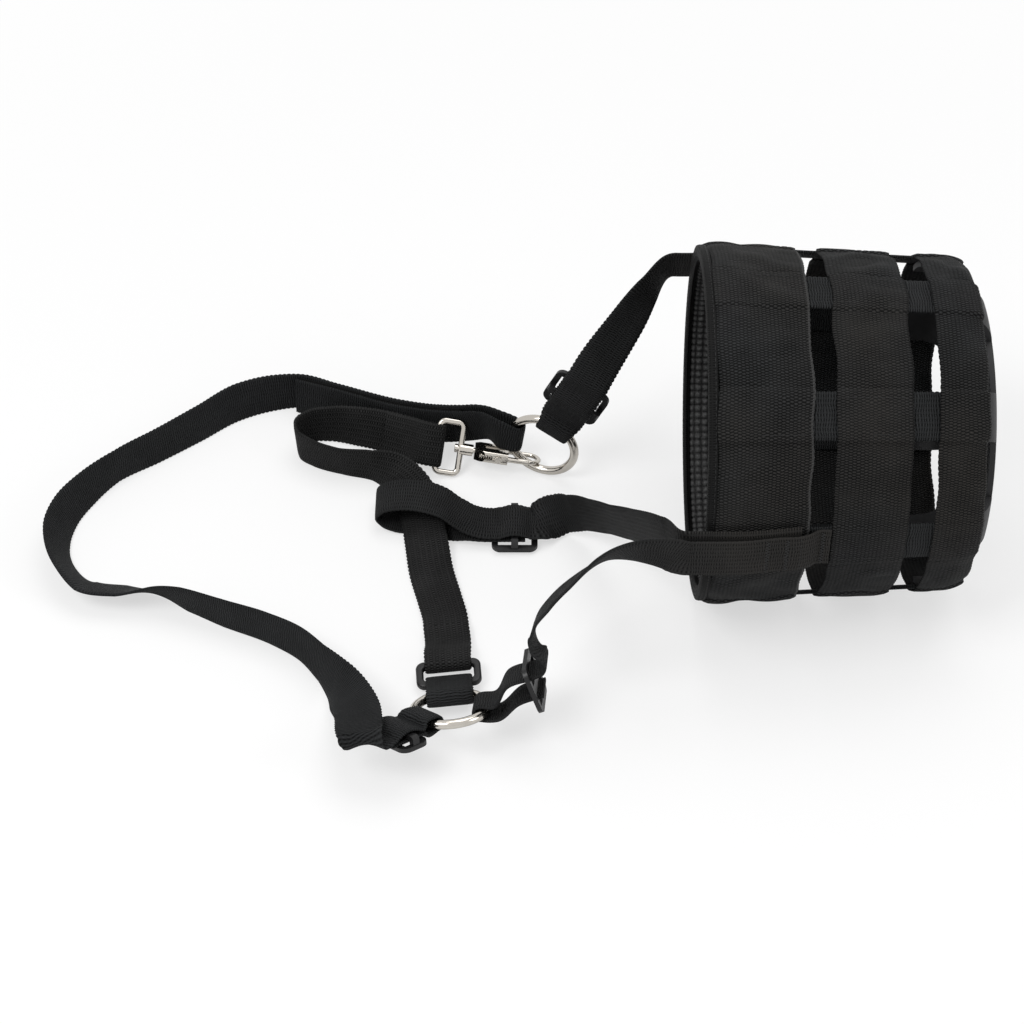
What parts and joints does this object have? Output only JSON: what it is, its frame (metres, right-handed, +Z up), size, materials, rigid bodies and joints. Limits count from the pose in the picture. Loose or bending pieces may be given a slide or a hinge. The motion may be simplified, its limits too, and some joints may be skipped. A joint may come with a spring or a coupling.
{
  "type": "basket muzzle",
  "caption": "Horse grazing muzzle: webbing basket with a lined mouth and a rubber base with a grazing hole, on a webbing halter with rings, slides and a bolt snap.",
  "frame": {"origin": "centre of the basket's mouth, in the plane where the head goes in", "axes": "+X along the basket from its mouth to its rubber base, +Z up with the muzzle put down on its side, -Y the side nearer the camera, where the near cheek strap is sewn"},
  "size_m": [0.5092, 0.2982, 0.1953],
  "materials": {
    "webbing": "woven near-black polyester webbing, matt with a faint sheen on the ribs",
    "lining": "near-black knitted spacer mesh with a bound edge, matt",
    "tape": "black hook-and-loop tape, matt",
    "rubber": "moulded dark grey rubber, satin",
    "metal": "nickel-plated metal, polished",
    "plastic": "black moulded plastic, satin"
  },
  "bodies": {
    "basket": {"basket_strap_1": "webbing", "basket_strap_2": "webbing", "basket_strap_3": "webbing", "basket_strap_4": "webbing", "basket_strap_5": "webbing", "basket_strap_6": "webbing", "basket_strap_7": "webbing", "basket_strap_8": "webbing", "mouth_band": "webbing", "middle_band": "webbing", "lower_band": "webbing", "mouth_lining": "lining", "rim_binding": "lining", "rubber_base": "rubber", "near_cheek_anchor": "webbing", "chin_anchor": "webbing", "far_cheek_anchor": "webbing"},
    "halter": {"near_cheek_strap": "webbing", "far_cheek_strap": "webbing", "chin_strap": "webbing", "crown_strap": "webbing", "hook_tape": "tape", "loop_tape": "tape", "throat_strap": "webbing", "ring_tab": "webbing", "throat_loop": "plastic", "snap_eye": "metal"},
    "near_ring_body": {"near_ring": "metal"},
    "far_ring_body": {"far_ring": "metal"},
    "near_cheek_slide_body": {"near_cheek_slide": "plastic"},
    "far_cheek_slide_body": {"far_cheek_slide": "plastic"},
    "chin_slide_body": {"chin_slide": "plastic"},
    "crown_slide_body": {"crown_slide": "plastic"},
    "snap": {"snap_body": "metal", "snap_spring": "metal"},
    "bolt": {"snap_bolt": "metal"}
  },
  "joints": [
    {"name": "halter_swing", "type": "hinge", "parent": "basket", "child": "halter", "pos_m": [-0.0032, -0.0038, 0.0286], "axis": [0, 0.9882, 0.1532], "range_deg": [-3.9, 35]},
    {"name": "near_ring_turn", "type": "hinge", "parent": "halter", "child": "near_ring_body", "pos_m": [-0.1325, -0.134, -0.0784], "axis": [0.086, -0.421, -0.903], "continuous": true},
    {"name": "far_ring_turn", "type": "hinge", "parent": "halter", "child": "far_ring_body", "pos_m": [-0.083, 0.0625, -0.0753], "axis": [0.3419, 0.9397, 0], "continuous": true},
    {"name": "near_cheek_slide_run", "type": "slide", "parent": "halter", "child": "near_cheek_slide_body", "axis": [0.9277, 0.1019, 0.3591], "range_m": [-0.008, 0.004]},
    {"name": "far_cheek_slide_run", "type": "slide", "parent": "halter", "child": "far_cheek_slide_body", "axis": [0.3972, -0.1445, 0.9063], "range_m": [-0.0008, 0.0008]},
    {"name": "chin_slide_run", "type": "slide", "parent": "halter", "child": "chin_slide_body", "axis": [1, 0, 0], "range_m": [-0.0008, 0.0006]},
    {"name": "crown_slide_run", "type": "slide", "parent": "halter", "child": "crown_slide_body", "axis": [-0.7583, -0.6155, 0.215], "range_m": [-0.0006, 0.0008]},
    {"name": "snap_swivel", "type": "hinge", "parent": "halter", "child": "snap", "pos_m": [-0.13709, 0.0691, -0.0832], "axis": [0.9866, -0.0505, -0.1554], "range_deg": [-4, 4]},
    {"name": "bolt_draw", "type": "slide", "parent": "snap", "child": "bolt", "axis": [-0.9866, 0.0505, 0.1554], "range_m": [0, 0.006], "stiffness_N_per_m": 300, "springref_m": -0.004, "deforming": ["snap_spring"]}
  ]
}
